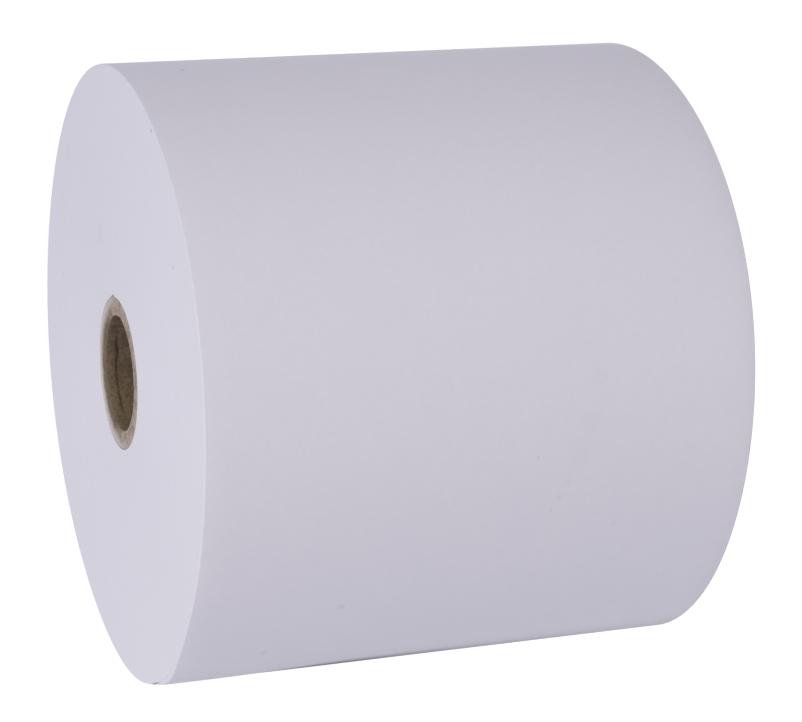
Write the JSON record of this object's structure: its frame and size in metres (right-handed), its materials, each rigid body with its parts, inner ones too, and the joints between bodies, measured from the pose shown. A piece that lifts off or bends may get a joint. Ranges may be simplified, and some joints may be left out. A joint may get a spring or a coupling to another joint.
{
  "type": "thermal paper roll",
  "caption": "Roll of white thermal printer paper wound on a kraft board core, with a plain bore for a spindle, standing on one end.",
  "frame": {"origin": "centre of the bottom of the bounding box, on the end that the roll stands on", "axes": "+Z along the roll's axis, away from the end it stands on; +X in the end face, 186 degrees before the free edge of the web counted from +X towards +Y"},
  "size_m": [0.0645, 0.0663, 0.057],
  "materials": {
    "thermal_paper": "smooth matte coated paper, wound in tight turns",
    "core_board": "rough grey-brown kraft board, with fibres torn at the cut"
  },
  "bodies": {
    "root": {"paper_roll": "thermal_paper", "core_tube": "core_board"}
  },
  "joints": []
}
